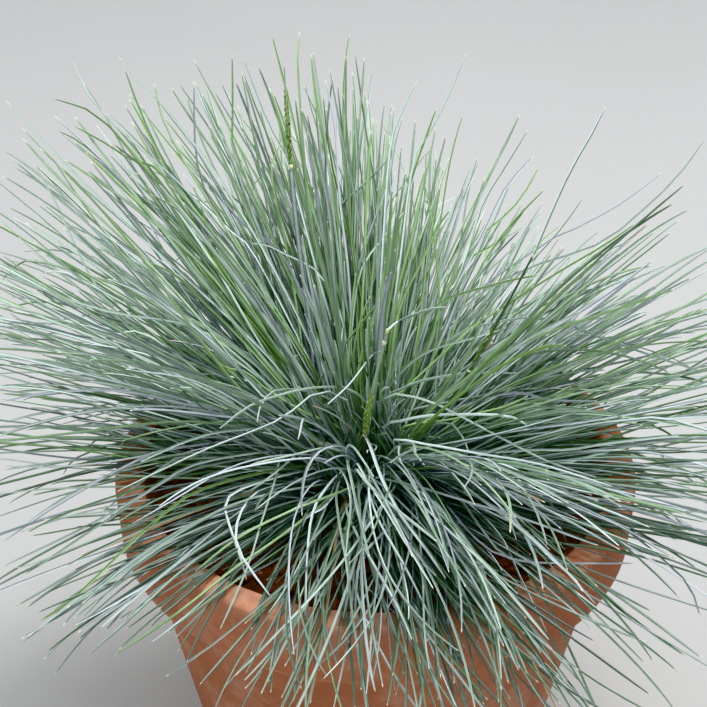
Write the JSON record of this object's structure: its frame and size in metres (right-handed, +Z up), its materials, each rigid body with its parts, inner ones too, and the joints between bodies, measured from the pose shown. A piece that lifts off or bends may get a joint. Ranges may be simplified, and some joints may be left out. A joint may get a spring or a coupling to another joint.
{
  "type": "potted blue fescue clump",
  "caption": "Round clump of fine blue-grey grass blades that arch out over a plain tapered pot with bark mulch, for a patio or border edge.",
  "frame": {"origin": "centre of the pot's underside", "axes": "+Z up, -Y towards the clump's front, the side that the picture was taken from"},
  "size_m": [0.3975, 0.4079, 0.3915],
  "materials": {
    "terracotta": "matte",
    "potting_soil": "matte",
    "bark": "matte",
    "crown_straw": "matte",
    "fescue_blade": "satin",
    "flower_green": "satin"
  },
  "bodies": {
    "root": {"pot": "terracotta", "potting_soil": "potting_soil", "bark_mulch": "bark", "root_crown": "crown_straw", "leaf_tuft_01": "fescue_blade", "leaf_tuft_02": "fescue_blade", "leaf_tuft_03": "fescue_blade", "leaf_tuft_04": "fescue_blade", "leaf_tuft_05": "fescue_blade", "leaf_tuft_06": "fescue_blade", "leaf_tuft_07": "fescue_blade", "leaf_tuft_08": "fescue_blade", "leaf_tuft_09": "fescue_blade", "leaf_tuft_10": "fescue_blade", "leaf_tuft_11": "fescue_blade", "leaf_tuft_12": "fescue_blade", "leaf_tuft_13": "fescue_blade", "leaf_tuft_14": "fescue_blade", "leaf_tuft_15": "fescue_blade", "leaf_tuft_16": "fescue_blade", "leaf_tuft_17": "fescue_blade", "leaf_tuft_18": "fescue_blade", "leaf_tuft_19": "fescue_blade", "leaf_tuft_20": "fescue_blade", "leaf_tuft_21": "fescue_blade", "leaf_tuft_22": "fescue_blade", "leaf_tuft_23": "fescue_blade", "leaf_tuft_24": "fescue_blade", "leaf_tuft_25": "fescue_blade", "leaf_tuft_26": "fescue_blade", "leaf_tuft_27": "fescue_blade", "leaf_tuft_28": "fescue_blade", "leaf_tuft_29": "fescue_blade", "leaf_tuft_30": "fescue_blade", "leaf_tuft_31": "fescue_blade", "leaf_tuft_32": "fescue_blade", "leaf_tuft_33": "fescue_blade", "leaf_tuft_34": "fescue_blade", "leaf_tuft_35": "fescue_blade", "leaf_tuft_36": "fescue_blade", "leaf_tuft_37": "fescue_blade", "leaf_tuft_38": "fescue_blade", "leaf_tuft_39": "fescue_blade", "leaf_tuft_40": "fescue_blade", "leaf_tuft_41": "fescue_blade", "leaf_tuft_42": "fescue_blade", "leaf_tuft_43": "fescue_blade", "flower_stem_1": "flower_green", "flower_stem_2": "flower_green", "flower_stem_3": "flower_green"}
  },
  "joints": []
}
